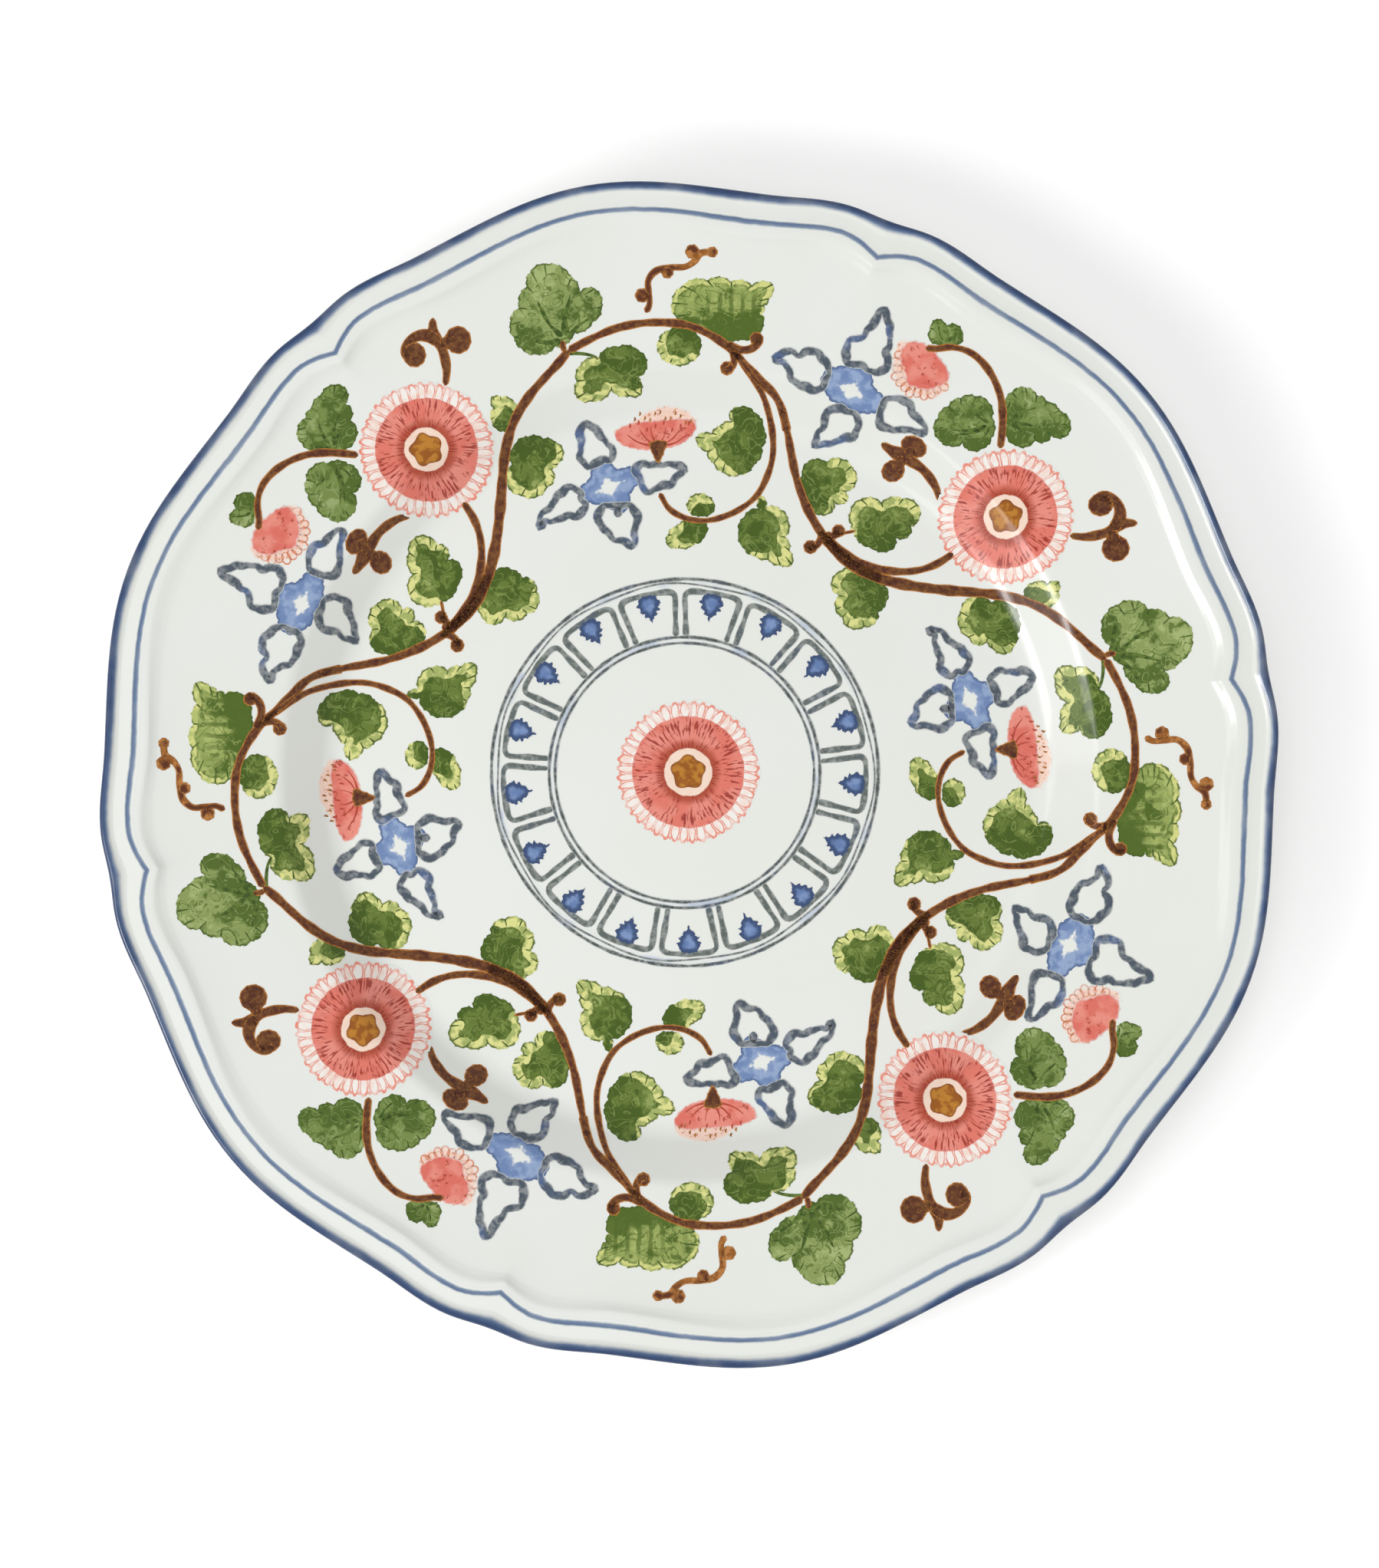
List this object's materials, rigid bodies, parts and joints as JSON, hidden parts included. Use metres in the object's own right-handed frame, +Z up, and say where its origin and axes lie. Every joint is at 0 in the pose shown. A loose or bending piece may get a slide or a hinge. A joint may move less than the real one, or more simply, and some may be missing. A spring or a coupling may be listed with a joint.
{
  "type": "dinner plate",
  "caption": "Glazed china dinner plate with a scalloped, moulded rim, a recessed well, a foot ring and fired-on floral decoration in blue, coral, green and brown.",
  "frame": {"origin": "centre of the foot ring, in the plane that the plate stands on", "axes": "+Z up, out of the eating side; +X to the right and +Y to the top of the plate as it is looked at from above, with one rim notch 10 degrees on from +X towards +Y"},
  "size_m": [0.2658, 0.2678, 0.0237],
  "materials": {
    "china_glaze": "gloss",
    "line_blue": "gloss",
    "slate_blue": "gloss",
    "leaf_green": "gloss",
    "coral_red": "gloss",
    "sepia_brown": "gloss"
  },
  "bodies": {
    "root": {"plate_body": "china_glaze", "edge_band": "line_blue", "verge_line": "line_blue", "medallion_border": "slate_blue", "centre_rosette": "coral_red", "vine_1": "leaf_green", "rosette_1": "coral_red", "bud_spray_1": "coral_red", "outer_blue_flower_1": "slate_blue", "inner_blue_flower_1": "slate_blue", "half_flower_1": "coral_red", "outer_fleur_1": "sepia_brown", "inner_fleur_1": "sepia_brown", "tendril_1": "sepia_brown", "vine_2": "leaf_green", "rosette_2": "coral_red", "bud_spray_2": "coral_red", "outer_blue_flower_2": "slate_blue", "inner_blue_flower_2": "slate_blue", "half_flower_2": "coral_red", "outer_fleur_2": "sepia_brown", "inner_fleur_2": "sepia_brown", "tendril_2": "sepia_brown", "vine_3": "leaf_green", "rosette_3": "coral_red", "bud_spray_3": "coral_red", "outer_blue_flower_3": "slate_blue", "inner_blue_flower_3": "slate_blue", "half_flower_3": "coral_red", "outer_fleur_3": "sepia_brown", "inner_fleur_3": "sepia_brown", "tendril_3": "sepia_brown", "vine_4": "leaf_green", "rosette_4": "coral_red", "bud_spray_4": "coral_red", "outer_blue_flower_4": "slate_blue", "inner_blue_flower_4": "slate_blue", "half_flower_4": "coral_red", "outer_fleur_4": "sepia_brown", "inner_fleur_4": "sepia_brown", "tendril_4": "sepia_brown"}
  },
  "joints": []
}
